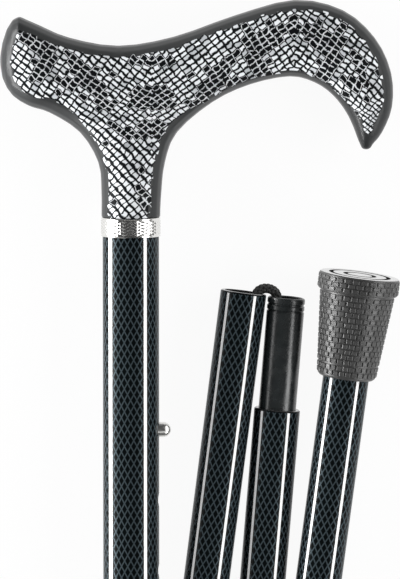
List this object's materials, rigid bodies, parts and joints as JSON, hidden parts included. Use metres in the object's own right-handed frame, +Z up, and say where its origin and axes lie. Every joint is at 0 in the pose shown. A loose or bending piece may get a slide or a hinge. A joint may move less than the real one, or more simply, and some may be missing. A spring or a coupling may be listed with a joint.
{
  "type": "folding cane",
  "caption": "Height-adjustable folding walking cane with a derby handle, telescoping upper tube with a snap button, elastic-cord spigot folds and a rubber ferrule.",
  "frame": {"origin": "on the table, under the middle of the folded cane's bounding box", "axes": "+Y along the handle section towards the handle, +Z up from the table, +X towards the ferrule's side of the fan"},
  "size_m": [0.1554, 0.3344, 0.0313],
  "materials": {
    "soft_touch": "soft-touch matt",
    "tube_shell": "gloss printed lacquer",
    "black_plastic": "moulded satin",
    "bright_steel": "bright plated",
    "spring_steel": "bare steel",
    "ferrule_rubber": "moulded matt",
    "elastic_cord": "braided"
  },
  "bodies": {
    "handle_section": {"handle_body": "soft_touch", "handle_stem": "black_plastic", "collar_ring": "bright_steel", "outer_tube": "tube_shell", "guide_collar": "black_plastic"},
    "inner_shaft": {"inner_tube": "tube_shell", "top_bush": "black_plastic", "button_spring": "spring_steel", "cord_anchor_top": "black_plastic", "cord_run_1": "elastic_cord"},
    "height_button": {"adjust_button": "bright_steel"},
    "fold_link_1": {"cord_loop_1": "elastic_cord"},
    "section_2": {"tube_2": "tube_shell", "spigot_2": "black_plastic", "spigot_cap_2": "black_plastic", "cord_run_2": "elastic_cord"},
    "fold_link_2": {"cord_loop_2": "elastic_cord"},
    "section_3": {"tube_3": "tube_shell", "spigot_3": "black_plastic", "spigot_cap_3": "black_plastic", "cord_run_3": "elastic_cord"},
    "fold_link_3": {"cord_loop_3": "elastic_cord"},
    "section_4": {"tube_4": "tube_shell", "spigot_4": "black_plastic", "spigot_cap_4": "black_plastic", "cord_run_4": "elastic_cord", "cord_anchor_bottom": "black_plastic", "ferrule_washer": "spring_steel", "ferrule": "ferrule_rubber"}
  },
  "joints": [
    {"name": "height_adjust", "type": "slide", "parent": "handle_section", "child": "inner_shaft", "axis": [0, -1, 0], "range_m": [0, 0.084], "deforming": ["adjust_button"]},
    {"name": "button_press", "type": "slide", "parent": "inner_shaft", "child": "height_button", "axis": [-1, 0, 0], "range_m": [0, 0.0062], "stiffness_N_per_m": 800, "deforming": ["button_spring"]},
    {"name": "seat_1", "type": "slide", "parent": "inner_shaft", "child": "fold_link_1", "axis": [0, 1, 0], "range_m": [0, 0.0448], "deforming": ["cord_run_1"]},
    {"name": "fold_1", "type": "hinge", "parent": "fold_link_1", "child": "section_2", "pos_m": [-0.0186, -0.15877, 0.013], "axis": [0, -0.0093, -1], "range_deg": [0, 172.7], "deforming": ["cord_loop_1"]},
    {"name": "seat_2", "type": "slide", "parent": "section_2", "child": "fold_link_2", "axis": [-0.1271, -0.9917, 0.0186], "range_m": [0, 0.0448], "deforming": ["cord_run_2"]},
    {"name": "fold_2", "type": "hinge", "parent": "fold_link_2", "child": "section_3", "pos_m": [0.02549, 0.0523, 0.00902], "axis": [0, 0.0093, 1], "range_deg": [0, 177.42], "deforming": ["cord_loop_2"]},
    {"name": "seat_3", "type": "slide", "parent": "section_3", "child": "fold_link_3", "axis": [0.0819, 0.9966, 0], "range_m": [0, 0.0448], "deforming": ["cord_run_3", "cord_run_4"]},
    {"name": "fold_3", "type": "hinge", "parent": "fold_link_3", "child": "section_4", "pos_m": [0.02471, -0.16336, 0.00902], "axis": [0.002, 0.0145, -0.9999], "range_deg": [0, 177.32], "deforming": ["cord_loop_3"]}
  ],
  "couplings": [
    {"joint": "fold_2", "follows": "fold_1", "ratio": 1.0272},
    {"joint": "fold_3", "follows": "fold_1", "ratio": 1.0266},
    {"joint": "seat_2", "follows": "seat_1", "ratio": 1},
    {"joint": "seat_3", "follows": "seat_1", "ratio": 1}
  ]
}
